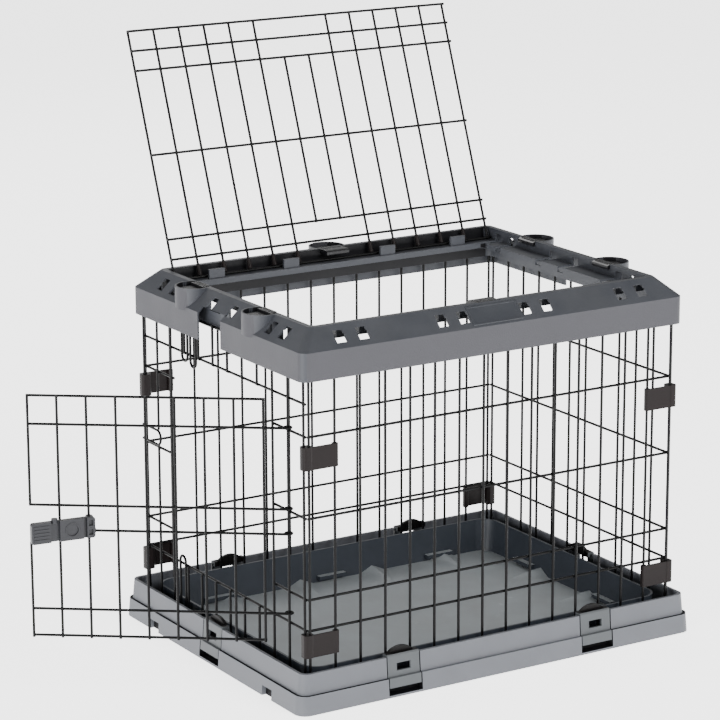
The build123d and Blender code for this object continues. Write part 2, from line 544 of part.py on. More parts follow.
# sleeves on the lid's wires above the hinge
SLEEVE_FOOT = 2.6
SLEEVE_LENGTH = 15.0
with BuildPart(lid_plane) as lid_hinge_sleeves:
    sleeve_wires = [i for i in long_wires if i not in (0, LID_BAYS)]
    sleeve_middle = SLEEVE_FOOT + SLEEVE_LENGTH / 2
    with Locations(*[(-LID_HALF + i * LID_PITCH, sleeve_middle, -CROSS) for i in sleeve_wires]):
        Cone(3.3, WIRE_R + 0.7, SLEEVE_LENGTH, rotation=(-90, 0, 0))
        Cylinder(WIRE_R + 0.15, SLEEVE_LENGTH + 1, rotation=(-90, 0, 0), mode=Mode.SUBTRACT)
finish(lid_hinge_sleeves, "lid_hinge_sleeves")

# ================================================================= door
HINGE_X = -(LENGTH / 2 - PANEL_IN)
HINGE_Y = -SIDE_X[1]
swing = radians(DOOR_OPEN)
door_plane = Plane(origin=(HINGE_X, HINGE_Y, 0), x_dir=(-sin(swing), cos(swing), 0), z_dir=(0, 0, 1))
DOOR_FAR = DOOR_FIRST + DOOR_BAYS * DOOR_PITCH
ROW_Y = HOOK_R
BAR_Y = HOOK_R + CROSS
with BuildPart(door_plane) as door_grille:
    bars = [DOOR_FIRST + i * DOOR_PITCH for i in range(DOOR_BAYS)]
    low, high = DOOR_ROWS[0], DOOR_ROWS[-1]
    with Locations(*[(d, BAR_Y, (low + high) / 2) for d in bars]):
        rod(high - low + 2 * WIRE_R, "z")
    # the free edge's bar is open beside the handle
    for start, stop in ((low - WIRE_R, DOOR_ROWS[2] - 16), (DOOR_ROWS[3], high + WIRE_R)):
        with Locations((DOOR_FAR, BAR_Y, (start + stop) / 2)):
            rod(stop - start, "z")
    for z in DOOR_ROWS:
        stop = DOOR_FAR - 2 * DOOR_PITCH + WIRE_R if z == DOOR_ROWS[2] else DOOR_FAR + WIRE_R
        with BuildLine(door_plane.offset(z)) as row_line:
            if z in HOOK_ROWS:
                # the row ends in a hook round the panel's second upright
                straight = Line((stop, ROW_Y), (0, ROW_Y))
                CenterArc((0, 0), HOOK_R, 90, HOOK_ARC)
            else:
                straight = Line((stop, ROW_Y), (DOOR_FIRST - WIRE_R, ROW_Y))
        with BuildSketch(Plane(origin=straight @ 0, z_dir=straight % 0)):
            Circle(WIRE_R)
        sweep(path=row_line.line)
finish(door_grille, "door_grille")

# ================================================================= door latch
CLIP_D = DOOR_FAR - 2 * DOOR_PITCH
CLIP_BODY = 15.6          # height of the sleeve that the handle turns against
HANDLE_HEIGHT = 27.0
HANDLE_LENGTH = 84.0
HANDLE_FACE = 4.6         # pivot axis to the handle's inner face
HANDLE_DEPTH = 8.0
HANDLE_SWING = 28.0       # degrees the handle stands off the door's plane
HANDLE_BACK = 4.5         # how far the handle reaches behind its pivot
DOOR_CLIP_Z = 227.4       # middle of that sleeve
with BuildPart(door_plane) as door_latch_clip:
    with Locations((CLIP_D, BAR_Y, DOOR_CLIP_Z)):
        Cylinder(3.6, CLIP_BODY)
    with Locations((CLIP_D - 4, ROW_Y, DOOR_ROWS[2])):
        Box(8, 5.0, 6)
    with Locations((CLIP_D, BAR_Y, DOOR_CLIP_Z)):
        Cylinder(WIRE_R + 0.15, 2 * CLIP_BODY, mode=Mode.SUBTRACT)
    with Locations((CLIP_D - 10, ROW_Y, DOOR_ROWS[2])):
        Cylinder(WIRE_R + 0.15, 30, rotation=(0, 90, 0), mode=Mode.SUBTRACT)
finish(door_latch_clip, "door_latch_clip")

handle_dir = radians(DOOR_OPEN + HANDLE_SWING)
pivot = door_plane.origin + door_plane.x_dir * CLIP_D + door_plane.y_dir * BAR_Y
handle_plane = Plane(origin=pivot, x_dir=(-sin(handle_dir), cos(handle_dir), 0), z_dir=(0, 0, 1))
face_y = HANDLE_FACE + HANDLE_DEPTH
KNUCKLE_Z = 239.8         # middle of the knuckle, above the clip
KNUCKLE_HEIGHT = 8.0
CHANNEL_X = 48.0          # the channel that takes the catch
with BuildPart(handle_plane) as door_latch_handle:
    with Locations((HANDLE_LENGTH / 2 - HANDLE_BACK, HANDLE_FACE + HANDLE_DEPTH / 2, HANDLE_Z)):
        Box(HANDLE_LENGTH, HANDLE_DEPTH, HANDLE_HEIGHT)
    fillet(door_latch_handle.edges().filter_by(Axis(pivot, handle_plane.y_dir)), 3)
    # knuckle round the door's bar, above the clip
    with Locations((0, 0, KNUCKLE_Z)):
        Cylinder(4.2, KNUCKLE_HEIGHT)
    with Locations((0, HANDLE_FACE / 2 + 0.5, KNUCKLE_Z)):
        Box(8.4, HANDLE_FACE, KNUCKLE_HEIGHT)
    with Locations((0, 0, HANDLE_Z)):
        Cylinder(WIRE_R + 0.3, HANDLE_HEIGHT + 4, mode=Mode.SUBTRACT)
    # channel across the handle, with a button above it
    with Locations((CHANNEL_X, face_y, HANDLE_Z)):
        Box(12, 9, HANDLE_HEIGHT + 2, mode=Mode.SUBTRACT)
    with Locations((CHANNEL_X, HANDLE_FACE + 3.0, HANDLE_Z + HANDLE_HEIGHT / 2)):
        Cylinder(4.2, 6)
    # step between the end block and the arm
    with Locations((8.5, face_y, HANDLE_Z)):
        Box(4.5, 7, HANDLE_HEIGHT + 2, mode=Mode.SUBTRACT)
    # shallow round emboss on the arm
    with Locations(Location((26, face_y, HANDLE_Z), (90, 0, 0))):
        Cylinder(9.5, 1.2)
        Cylinder(8, 2.0, mode=Mode.SUBTRACT)
    # grip ribs along the free end
    with Locations(*[(66.5, face_y, HANDLE_Z + rib * 4.4) for rib in range(-2, 3)]):
        Box(20, 1.8, 1.8)
    # two square recesses in the end block
    with Locations(*[(1.2, face_y, HANDLE_Z + sign * 6) for sign in (-1, 1)]):
        Box(5.5, 5, 7, mode=Mode.SUBTRACT)
finish(door_latch_handle, "door_latch_handle")
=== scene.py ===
"""Folding wire dog crate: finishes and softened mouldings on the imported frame, with a studio stage."""
import json
import math

import bmesh
import bpy
from bpy.props import FloatProperty, FloatVectorProperty, IntProperty, PointerProperty
from mathutils import Matrix, Vector


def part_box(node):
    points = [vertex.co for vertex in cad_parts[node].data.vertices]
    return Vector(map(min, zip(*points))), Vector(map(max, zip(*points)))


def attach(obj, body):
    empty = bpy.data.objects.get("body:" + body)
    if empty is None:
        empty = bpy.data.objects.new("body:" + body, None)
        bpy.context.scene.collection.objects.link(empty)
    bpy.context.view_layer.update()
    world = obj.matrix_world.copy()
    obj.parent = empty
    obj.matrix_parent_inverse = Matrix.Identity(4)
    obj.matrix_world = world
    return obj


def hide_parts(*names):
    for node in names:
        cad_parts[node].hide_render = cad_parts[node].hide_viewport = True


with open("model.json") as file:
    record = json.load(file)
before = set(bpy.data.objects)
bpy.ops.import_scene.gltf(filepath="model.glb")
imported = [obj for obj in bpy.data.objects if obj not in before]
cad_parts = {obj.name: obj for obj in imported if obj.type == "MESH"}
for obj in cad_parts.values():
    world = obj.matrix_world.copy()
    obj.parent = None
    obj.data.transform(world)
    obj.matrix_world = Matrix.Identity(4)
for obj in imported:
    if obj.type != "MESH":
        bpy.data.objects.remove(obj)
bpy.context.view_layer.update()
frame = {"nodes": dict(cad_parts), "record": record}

bl_info = {
    "name": "Wire Dog Crate",
    "version": (1, 0, 0),
    "blender": (4, 5, 0),
    "location": "View3D > Sidebar > Dog Crate",
    "description": "Builds the mouldings, wires and finishes of a folding wire dog crate",
    "category": "Object",
}

BODY_OF = {node: body for body, nodes in frame["record"]["behaviour"]["bodies"].items() for node in nodes}
BASE_LATCHES = sorted(name for name in frame["nodes"] if name.startswith("base_latch"))
LID_LATCHES = sorted(name for name in frame["nodes"] if name.startswith("lid_latch"))
CORNER_CLIPS = sorted(name for name in frame["nodes"] if name.startswith("corner_clip"))
WALLS = ("panel_front", "panel_back", "panel_right", "panel_door_side")
TRAY_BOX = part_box("base_tray")

# places in metres; an inset is measured inwards from the tray's outline
WELLS = tuple(Vector(place) for place in
              ((-0.274, -0.088), (-0.274, 0.088), (0.274, -0.088), (0.274, 0.088), (0.0, 0.204)))
WELL_RADIUS = 0.0238
WELL_FOOT = 0.468
WELL_TOP = 0.489
BEAD_RADIUS = 0.0019
WIRE_RADIUS = 0.00175
LONG_BAYS = 15
SHORT_BAYS = 11
ROW_HEIGHTS = (0.020, 0.1025, 0.1437, 0.2507, 0.3572, 0.451)
DOORWAY_ROW_HEIGHTS = (0.020, 0.1025, 0.3995, 0.451)
CORNER_ZONE = Vector((0.284, 0.214))
BAND_TOP = 0.028
BAND_INSET = 0.0055
GROOVE_INSET = 0.0125
GROOVE_TOP = 0.047
PAN_INSET = 0.0338
PAN_FOOT = 0.004
PAN_FLOOR_INSET = 0.037
PAN_FLOOR_TOP = 0.020
LUG_INSET = 0.0132
SKIRT_INSET = 0.0162
CAMERA_PLACE = (-2.1412, -3.3428, 1.3897)
CAMERA_AIM = (-0.0522, 0.0323, 0.3724)
CAMERA_ROLL = math.radians(-0.18)
FLOOR_HALF = 14.0
FLOOR_DROP = 0.0003


# ------------------------------------------------------------------ settings
def colour(name, description, default):
    """A colour property."""
    return FloatVectorProperty(name=name, description=description, subtype="COLOR", size=3,
                               min=0.0, max=1.0, default=default)


def length(name, description, default):
    """A length property, in metres."""
    return FloatProperty(name=name, description=description, default=default, min=0.0,
                         unit="LENGTH", subtype="DISTANCE", precision=5)


class CrateColours(bpy.types.PropertyGroup):
    """Colours of the crate's mouldings and wires."""

    tray: colour("Tray", "Light grey of the base tray and its latches", (0.102, 0.107, 0.120))
    # Painted shade: the tray's groove, finger gaps and underside get this near-black in place of the shadow
    # inside them; the plastic there is the tray's own grey.
    hollow_shade: colour("Hollow shade", "Painted shade: near-black in the tray's groove and finger gaps", (0.0050, 0.0050, 0.0060))
    # Painted shade: the pan's walls are a darker copy of the pan's slate than its floor, standing in for the
    # shade inside the pan; the slate itself is the pan's own colour.
    pan: colour("Pan wall", "Dark slate of the inner pan's walls, darkened further as painted shade", (0.030, 0.036, 0.046))
    # Painted light: the pan's floor is a much lighter copy of the same slate, standing in for the light that
    # falls on it from above.
    pan_floor: colour("Pan floor", "Slate of the inner pan's floor, lightened as painted light from above", (0.250, 0.272, 0.285))
    skirt: colour("Skirt", "Grained grey of the top frame's skirt", (0.046, 0.046, 0.053))
    frame: colour("Top frame", "Slate grey of the top frame", (0.040, 0.043, 0.051))
    base_latch: colour("Base latch", "Mid grey of the base latches", (0.066, 0.072, 0.077))
    lug: colour("Base latch lug", "Black of the base latches' lugs", (0.0030, 0.0026, 0.0026))
    # Also painted shade: the finger wells' lining takes this charcoal in place of the shade inside the wells.
    latch: colour("Lid latch", "Charcoal of the lid latches, also painted shade in the finger wells", (0.0070, 0.0070, 0.0085))
    wire: colour("Wire", "Black paint on the wires", (0.0018, 0.0018, 0.0020))
    clip: colour("Corner clip", "Brown-black of the corner clips and sleeves", (0.0085, 0.0060, 0.0060))
    handle: colour("Door handle", "Mid grey of the door's handle", (0.017, 0.0175, 0.021))
    badge: colour("Badge", "Grey of the plain badge plate", (0.036, 0.039, 0.046))


class CrateEdges(bpy.types.PropertyGroup):
    """How far the mouldings' edges are rounded."""

    tray: length("Tray edge", "Rounding of the tray's edges", 0.0011)
    frame: length("Frame edge", "Rounding of the top frame's edges", 0.0013)
    small: length("Small edge", "Rounding of the clips' and latches' edges", 0.0006)
    segments: IntProperty(name="Segments", description="Cuts across each rounded edge",
                          default=2, min=1, max=6)


class CrateStage(bpy.types.PropertyGroup):
    """Floor, lights and camera."""

    floor: colour("Floor", "Colour of the studio floor", (0.97, 0.97, 0.97))
    glow: FloatProperty(name="Floor glow", description="How brightly the floor shines, as a lit sweep does",
                        default=2.8, min=0.0)
    key: FloatProperty(name="Key light", description="Strength of the large light at the left",
                       default=190.0, min=0.0, unit="POWER")
    fill: FloatProperty(name="Fill light", description="Strength of the light at the right",
                        default=160.0, min=0.0, unit="POWER")
    sky: FloatProperty(name="Sky", description="Strength of the even light from all round",
                       default=0.4, min=0.0)
    lens: FloatProperty(name="Lens", description="Focal length", default=152.05, min=1.0, unit="CAMERA")


# ------------------------------------------------------------------ shader node groups
def new_group(name, inputs, outputs):
    """An empty shader node group with those sockets; each input is (name, type, default)."""
    group = bpy.data.node_groups.new(name, "ShaderNodeTree")
    for label, kind, default in inputs:
        socket = group.interface.new_socket(name=label, in_out="INPUT", socket_type=kind)
        socket.default_value = default
    for label, kind in outputs:
        group.interface.new_socket(name=label, in_out="OUTPUT", socket_type=kind)
    return group, group.nodes.new("NodeGroupInput"), group.nodes.new("NodeGroupOutput")


def add_node(tree, kind, **settings):
    """A node with its settings; a setting that names an input socket goes to that socket."""
    node = tree.nodes.new(kind)
    for key, value in settings.items():
        if hasattr(node, key):
            setattr(node, key, value)
        else:
            node.inputs[key.replace("_", " ")].default_value = value
    return node


def maths(tree, operation, first, second):
    """A Math node on two values or sockets."""
    node = tree.nodes.new("ShaderNodeMath")
    node.operation = operation
    for socket, value in zip(node.inputs, (first, second)):
        if isinstance(value, (int, float)):
            socket.default_value = value
        else:
            tree.links.new(value, socket)
    return node.outputs[0]


def ramp(tree, value, low, high):
    """A value brought to 0..1 between low and high."""
    node = tree.nodes.new("ShaderNodeMapRange")
    node.inputs["From Min"].default_value = low
    node.inputs["From Max"].default_value = high
    tree.links.new(value, node.inputs["Value"])
    return node.outputs["Result"]


def moulded_grain():
    """Fine moulded stipple: a height and a value that varies the gloss."""
    group, given, out = new_group(
        "moulded grain",
        (("Scale", "NodeSocketFloat", 900.0),),
        (("Height", "NodeSocketFloat"), ("Gloss", "NodeSocketFloat")))
    coords = add_node(group, "ShaderNodeTexCoord")
    fine = add_node(group, "ShaderNodeTexNoise", Detail=3.0, Roughness=0.6)
    cells = add_node(group, "ShaderNodeTexVoronoi")
    broad = add_node(group, "ShaderNodeTexNoise", Scale=22.0, Detail=3.0)
    for texture in (fine, cells, broad):
        group.links.new(coords.outputs["Object"], texture.inputs["Vector"])
    group.links.new(given.outputs["Scale"], fine.inputs["Scale"])
    group.links.new(given.outputs["Scale"], cells.inputs["Scale"])
    height = maths(group, "ADD", maths(group, "MULTIPLY", fine.outputs[0], 0.7),
                   maths(group, "MULTIPLY", cells.outputs["Distance"], 0.5))
    group.links.new(height, out.inputs["Height"])
    group.links.new(ramp(group, broad.outputs[0], 0.3, 0.7), out.inputs["Gloss"])
    return group


def handling_marks():
    """Scuffs and long faint scratches, as a mask."""
    group, given, out = new_group(
        "handling marks",
        (("Amount", "NodeSocketFloat", 0.5), ("Scale", "NodeSocketFloat", 60.0)),
        (("Mask", "NodeSocketFloat"),))
    coords = add_node(group, "ShaderNodeTexCoord")
    stretch = add_node(group, "ShaderNodeMapping")
    stretch.inputs["Scale"].default_value = (1.0, 1.0, 9.0)
    stretch.inputs["Rotation"].default_value = (0.4, 0.2, 0.6)
    group.links.new(coords.outputs["Object"], stretch.inputs["Vector"])
    scratch = add_node(group, "ShaderNodeTexNoise", Detail=5.0, Roughness=0.7, Distortion=0.4)
    patch = add_node(group, "ShaderNodeTexNoise", Scale=9.0, Detail=2.0)
    group.links.new(stretch.outputs[0], scratch.inputs["Vector"])
    group.links.new(coords.outputs["Object"], patch.inputs["Vector"])
    group.links.new(given.outputs["Scale"], scratch.inputs["Scale"])
    marks = maths(group, "MULTIPLY", ramp(group, scratch.outputs[0], 0.60, 0.74),
                  ramp(group, patch.outputs[0], 0.48, 0.66))
    group.links.new(maths(group, "MULTIPLY", marks, given.outputs["Amount"]), out.inputs["Mask"])
    return group


def settled_dust():
    """Dust on faces that look upwards, as a mask."""
    group, given, out = new_group(
        "settled dust", (("Amount", "NodeSocketFloat", 0.2),), (("Mask", "NodeSocketFloat"),))
    coords = add_node(group, "ShaderNodeTexCoord")
    facing = add_node(group, "ShaderNodeNewGeometry")
    split = add_node(group, "ShaderNodeSeparateXYZ")
    group.links.new(facing.outputs["Normal"], split.inputs[0])
    cloud = add_node(group, "ShaderNodeTexNoise", Scale=14.0, Detail=6.0, Roughness=0.65)
    group.links.new(coords.outputs["Object"], cloud.inputs["Vector"])
    mask = maths(group, "MULTIPLY", ramp(group, split.outputs["Z"], 0.35, 0.95),
                 ramp(group, cloud.outputs[0], 0.38, 0.72))
    group.links.new(maths(group, "MULTIPLY", mask, given.outputs["Amount"]), out.inputs["Mask"])
    return group


GROUPS = {}


def group_node(tree, name, **values):
    """The shared effect placed in a material."""
    makers = {"moulded grain": moulded_grain, "handling marks": handling_marks, "settled dust": settled_dust}
    if name not in GROUPS:
        GROUPS[name] = makers[name]()
    node = tree.nodes.new("ShaderNodeGroup")
    node.node_tree = GROUPS[name]
    for key, value in values.items():
        node.inputs[key].default_value = value
    return node


def mix_colour(tree, factor, first, second):
    """A colour mix; first and second are colours or sockets."""
    node = tree.nodes.new("ShaderNodeMix")
    node.data_type = "RGBA"
    tree.links.new(factor, node.inputs["Factor"])
    for socket, value in ((node.inputs[6], first), (node.inputs[7], second)):
        if isinstance(value, tuple):
            socket.default_value = value
        else:
            tree.links.new(value, socket)
    return node.outputs[2]


def shade(base, factor):
    """A lighter or darker copy of a colour, with alpha."""
    return tuple(min(1.0, channel * factor) for channel in base) + (1.0,)


def new_material(name):
    """A material with its tree and its Principled shader."""
    material = bpy.data.materials.new(name)
    material.use_nodes = True
    return material, material.node_tree, material.node_tree.nodes["Principled BSDF"]


def moulded_plastic(name, base, roughness=0.5, grain=700.0, bump=0.2, marks=0.5, dust=0.15, gloss=0.3):
    """Injection-moulded plastic: drifting tone, stipple, scuffs and a little dust."""
    base = tuple(base)
    material, tree, shader = new_material(name)
    stipple = group_node(tree, "moulded grain", Scale=grain)
    scuffs = group_node(tree, "handling marks", Amount=marks)
    film = group_node(tree, "settled dust", Amount=dust)
    body = mix_colour(tree, stipple.outputs["Gloss"], shade(base, 0.93), shade(base, 1.06))
    scuffed = mix_colour(tree, scuffs.outputs["Mask"], body, shade(base, 1.55))
    dusted = mix_colour(tree, film.outputs["Mask"], scuffed, (0.20, 0.195, 0.185, 1.0))
    tree.links.new(dusted, shader.inputs["Base Color"])
    sheen = maths(tree, "ADD", maths(tree, "MULTIPLY", stipple.outputs["Gloss"], 0.12), roughness - 0.06)
    rough = maths(tree, "ADD", sheen, maths(tree, "MULTIPLY", film.outputs["Mask"], 0.35))
    tree.links.new(rough, shader.inputs["Roughness"])
    relief = tree.nodes.new("ShaderNodeBump")
    relief.inputs["Strength"].default_value = bump
    relief.inputs["Distance"].default_value = 0.0003
    tree.links.new(stipple.outputs["Height"], relief.inputs["Height"])
    tree.links.new(relief.outputs[0], shader.inputs["Normal"])
    shader.inputs["Specular IOR Level"].default_value = gloss
    return material


def painted_wire(name, base):
    """Dipped black paint on steel wire: a satin skin with soft sags and a few dull rubs."""
    base = tuple(base)
    material, tree, shader = new_material(name)
    sag = group_node(tree, "moulded grain", Scale=320.0)
    rubs = group_node(tree, "handling marks", Amount=0.6, Scale=110.0)
    film = group_node(tree, "settled dust", Amount=0.05)
    paint = mix_colour(tree, sag.outputs["Gloss"], shade(base, 0.8), shade(base, 1.4))
    rubbed = mix_colour(tree, rubs.outputs["Mask"], paint, shade(base, 5.0))
    tree.links.new(mix_colour(tree, film.outputs["Mask"], rubbed, (0.05, 0.048, 0.045, 1.0)),
                   shader.inputs["Base Color"])
    tree.links.new(maths(tree, "ADD", maths(tree, "MULTIPLY", sag.outputs["Gloss"], 0.10),
                         maths(tree, "ADD", maths(tree, "MULTIPLY", rubs.outputs["Mask"], 0.3), 0.30)),
                   shader.inputs["Roughness"])
    relief = tree.nodes.new("ShaderNodeBump")
    relief.inputs["Strength"].default_value = 0.10
    relief.inputs["Distance"].default_value = 0.0002
    tree.links.new(sag.outputs["Height"], relief.inputs["Height"])
    tree.links.new(relief.outputs[0], shader.inputs["Normal"])
    shader.inputs["Specular IOR Level"].default_value = 0.12
    return material


# ------------------------------------------------------------------ meshes
def finish_on(node, material):
    """Give a CAD node its material."""
    holder = frame["nodes"][node]
    holder.data.materials.clear()
    holder.data.materials.append(material)


def mesh_piece(name, shape, material, node, smooth_angle=math.radians(38)):
    """Turn a bmesh into a piece that stands for a CAD node and rides its body."""
    for face in shape.faces:
        face.smooth = True
    for edge in shape.edges:
        if len(edge.link_faces) == 2:
            edge.smooth = edge.calc_face_angle() < smooth_angle
    mesh = bpy.data.meshes.new(name)
    shape.to_mesh(mesh)
    shape.free()
    piece = bpy.data.objects.new(name, mesh)
    bpy.context.scene.collection.objects.link(piece)
    mesh.materials.append(material)
    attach(piece, BODY_OF[node])
    return piece


def recess(shape, facing, border, depth):
    """Sink a panel into the largest flat face that looks along facing."""
    facing = Vector(facing).normalized()
    faces = [face for face in shape.faces if face.normal.dot(facing) > 0.98]
    widest = max(faces, key=lambda face: face.calc_area())
    bmesh.ops.inset_region(shape, faces=[widest], thickness=border, depth=0.0, use_even_offset=True)
    bmesh.ops.inset_region(shape, faces=[widest], thickness=depth * 0.4, depth=-depth, use_even_offset=True)


def softened(node, material, width, segments, panels=()):
    """A copy of a moulding with its panels sunk and its edges rounded, in place of the sharp one."""
    shape = bmesh.new()
    shape.from_mesh(frame["nodes"][node].data)
    bmesh.ops.remove_doubles(shape, verts=shape.verts, dist=2e-6)
    bmesh.ops.dissolve_limit(shape, angle_limit=math.radians(1.0), verts=shape.verts, edges=shape.edges)
    for facing, border, depth in panels:
        recess(shape, facing, border, depth)
    sharp = [edge for edge in shape.edges
             if len(edge.link_faces) == 2 and edge.calc_face_angle() > math.radians(32)]
    bmesh.ops.bevel(shape, geom=sharp, offset=width, offset_type="OFFSET", affect="EDGES",
                    segments=segments, profile=0.5, material=-1, clamp_overlap=True)
    piece = mesh_piece(node + "_moulding", shape, material, node)
    even = piece.modifiers.new("even shading", "WEIGHTED_NORMAL")
    even.weight = 100
    even.keep_sharp = True
    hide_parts(node)
    return piece


def another_colour(piece, material, belongs):
    """Give another material to the faces that pass the test."""
    piece.data.materials.append(material)
    index = len(piece.data.materials) - 1
    for face in piece.data.polygons:
        if belongs(face):
            face.material_index = index


def from_rim(point):
    """How far a point stands in from the tray's outline."""
    low, high = TRAY_BOX
    return min(point.x - low[0], high[0] - point.x, point.y - low[1], high[1] - point.y)


def in_hollow(face):
    """Whether a face of the tray belongs to its groove, its finger gaps or its underside."""
    at_corner = abs(face.center.x) > CORNER_ZONE.x and abs(face.center.y) > CORNER_ZONE.y
    start = GROOVE_INSET if at_corner or face.center.z > BAND_TOP else BAND_INSET
    return start < from_rim(face.center) < PAN_INSET and face.center.z < GROOVE_TOP


def in_well(face):
    """Whether a face of the top frame lines one of its finger wells."""
    if not WELL_FOOT < face.center.z < WELL_TOP:
        return False
    return any((face.center.xy - well).length < WELL_RADIUS for well in WELLS)


def in_pan(face):
    """Whether a face of the tray belongs to its inner pan."""
    return from_rim(face.center) > PAN_INSET and face.center.z > PAN_FOOT


def on_pan_floor(face):
    """Whether a face of the tray is the pan's floor or a ridge on it."""
    return (from_rim(face.center) > PAN_FLOOR_INSET and face.normal.z > 0.8
            and PAN_FOOT < face.center.z < PAN_FLOOR_TOP)


def weld_beads(name, node, places, material):
    """Small beads of weld at the wires' crossings, in one piece."""
    shape = bmesh.new()
    for place in places:
        bead = bmesh.ops.create_icosphere(shape, subdivisions=1, radius=BEAD_RADIUS)
        bmesh.ops.translate(shape, verts=bead["verts"], vec=place)
    return mesh_piece(name, shape, material, node, math.radians(80))


# ------------------------------------------------------------------ operators
class CRATE_OT_wire_walls(bpy.types.Operator):
    """Paint the four wire walls"""

    bl_idname = "crate.wire_walls"
    bl_label = "Wire Walls"

    def execute(self, context):
        paint = painted_wire("wall wire paint", context.scene.crate_colours.wire)
        for node in WALLS:
            finish_on(node, paint)
        for node in ("panel_front", "panel_back"):
            low, high = (Vector(corner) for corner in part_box(node))
            first = low.x + WIRE_RADIUS
            pitch = (high.x - WIRE_RADIUS - first) / LONG_BAYS
            depth = (low.y + high.y) / 2
            places = [(first + i * pitch, depth, z) for i in range(LONG_BAYS + 1) for z in ROW_HEIGHTS]
            weld_beads(node + "_welds", node, places, paint)
        low, high = (Vector(corner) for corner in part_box("panel_right"))
        first = low.y + WIRE_RADIUS
        pitch = (high.y - WIRE_RADIUS - first) / SHORT_BAYS
        depth = (low.x + high.x) / 2
        ends = [first + i * pitch for i in range(SHORT_BAYS + 1)]
        places = [(depth, y, z) for y in ends for z in ROW_HEIGHTS]
        weld_beads("panel_right_welds", "panel_right", places, paint)
        # the door side's rows stop at the doorway, from its third wire to its tenth
        beside = ends[:3] + ends[9:]
        places = [(-depth, y, z) for y in beside for z in ROW_HEIGHTS]
        places += [(-depth, y, z) for y in ends[3:9] for z in DOORWAY_ROW_HEIGHTS]
        weld_beads("panel_door_side_welds", "panel_door_side", places, paint)
        return {"FINISHED"}


class CRATE_OT_corner_clips(bpy.types.Operator):
    """Mould the eight corner clips"""

    bl_idname = "crate.corner_clips"
    bl_label = "Corner Clips"

    def execute(self, context):
        settings = context.scene.crate_edges
        plastic = moulded_plastic("corner clip plastic", context.scene.crate_colours.clip, 0.38,
                                  bump=0.1, marks=0.9, dust=0.03, gloss=0.12)
        for node in CORNER_CLIPS:
            softened(node, plastic, settings.small, settings.segments)
        return {"FINISHED"}


class CRATE_OT_base_tray(bpy.types.Operator):
    """Mould the base tray"""

    bl_idname = "crate.base_tray"
    bl_label = "Base Tray"

    def execute(self, context):
        settings = context.scene.crate_edges
        plastic = moulded_plastic("tray plastic", context.scene.crate_colours.tray, 0.5, marks=0.35, dust=0.1)
        tray = softened("base_tray", plastic, settings.tray, settings.segments)
        # Painted shade on the pan's walls: dark slate darkened beyond the floor's tone.
        slate = moulded_plastic("pan wall slate and painted shade", context.scene.crate_colours.pan, 0.4, marks=0.5, dust=0.2)
        # Painted light on the pan's floor: the slate lightened as if lit from above.
        lit_floor = moulded_plastic("pan floor painted light", context.scene.crate_colours.pan_floor, 0.45,
                               marks=0.9, dust=0.3)
        # Painted shade: faces in the groove, the finger gaps and the underside take a near-black copy of the
        # plastic.
        hollow_shade = moulded_plastic("tray recess painted shade", context.scene.crate_colours.hollow_shade, 0.6,
                                 marks=0.2, dust=0.0, gloss=0.1)
        another_colour(tray, hollow_shade, in_hollow)
        another_colour(tray, slate, in_pan)
        another_colour(tray, lit_floor, on_pan_floor)
        return {"FINISHED"}


class CRATE_OT_base_latches(bpy.types.Operator):
    """Mould the six base latches"""

    bl_idname = "crate.base_latches"
    bl_label = "Base Latches"

    def execute(self, context):
        settings = context.scene.crate_edges
        plastic = moulded_plastic("base latch plastic", context.scene.crate_colours.base_latch, 0.46,
                                  marks=0.5, dust=0.08)
        dark = moulded_plastic("base latch lug plastic", context.scene.crate_colours.lug, 0.45,
                               marks=0.4, dust=0.0, gloss=0.15)
        for node in BASE_LATCHES:
            latch = softened(node, plastic, settings.small, settings.segments)
            another_colour(latch, dark, lambda face: from_rim(face.center) > LUG_INSET)
        return {"FINISHED"}


class CRATE_OT_top_frame(bpy.types.Operator):
    """Mould the top frame"""

    bl_idname = "crate.top_frame"
    bl_label = "Top Frame"

    def execute(self, context):
        settings = context.scene.crate_edges
        plastic = moulded_plastic("top frame plastic", context.scene.crate_colours.frame, 0.45,
                                  marks=0.35, dust=0.12)
        moulding = softened("top_frame", plastic, settings.frame, settings.segments)
        grained = moulded_plastic("skirt plastic", context.scene.crate_colours.skirt, 0.55, grain=420.0,
                                  bump=0.5, marks=0.3, dust=0.05)
        # Painted shade: faces lining the finger wells take the latches' charcoal to stand in for the shade
        # inside the wells.
        shaded = moulded_plastic("well painted shade", context.scene.crate_colours.latch, 0.45,
                                 marks=0.4, dust=0.02, gloss=0.2)
        another_colour(moulding, shaded, in_well)
        another_colour(moulding, grained, lambda face: from_rim(face.center) < SKIRT_INSET)
        return {"FINISHED"}


class CRATE_OT_badge(bpy.types.Operator):
    """Mould the plain badge plate"""

    bl_idname = "crate.badge"
    bl_label = "Badge Plate"

    def execute(self, context):
        settings = context.scene.crate_edges
        plastic = moulded_plastic("badge plastic", context.scene.crate_colours.badge, 0.35,
                                  grain=1100.0, marks=0.6, dust=0.08)
        slope = (0.0, -0.68, 0.73)
        softened("badge_plate", plastic, settings.small * 0.5, settings.segments, [(slope, 0.0022, 0.0004)])
        return {"FINISHED"}


class CRATE_OT_lid_latches(bpy.types.Operator):
    """Mould the six lid latches"""

    bl_idname = "crate.lid_latches"
    bl_label = "Lid Latches"

    def execute(self, context):
        settings = context.scene.crate_edges
        plastic = moulded_plastic("lid latch plastic", context.scene.crate_colours.latch, 0.28,
                                  marks=0.7, dust=0.03, gloss=0.35)
        for node in LID_LATCHES:
            softened(node, plastic, settings.small * 0.5, settings.segments)
        return {"FINISHED"}


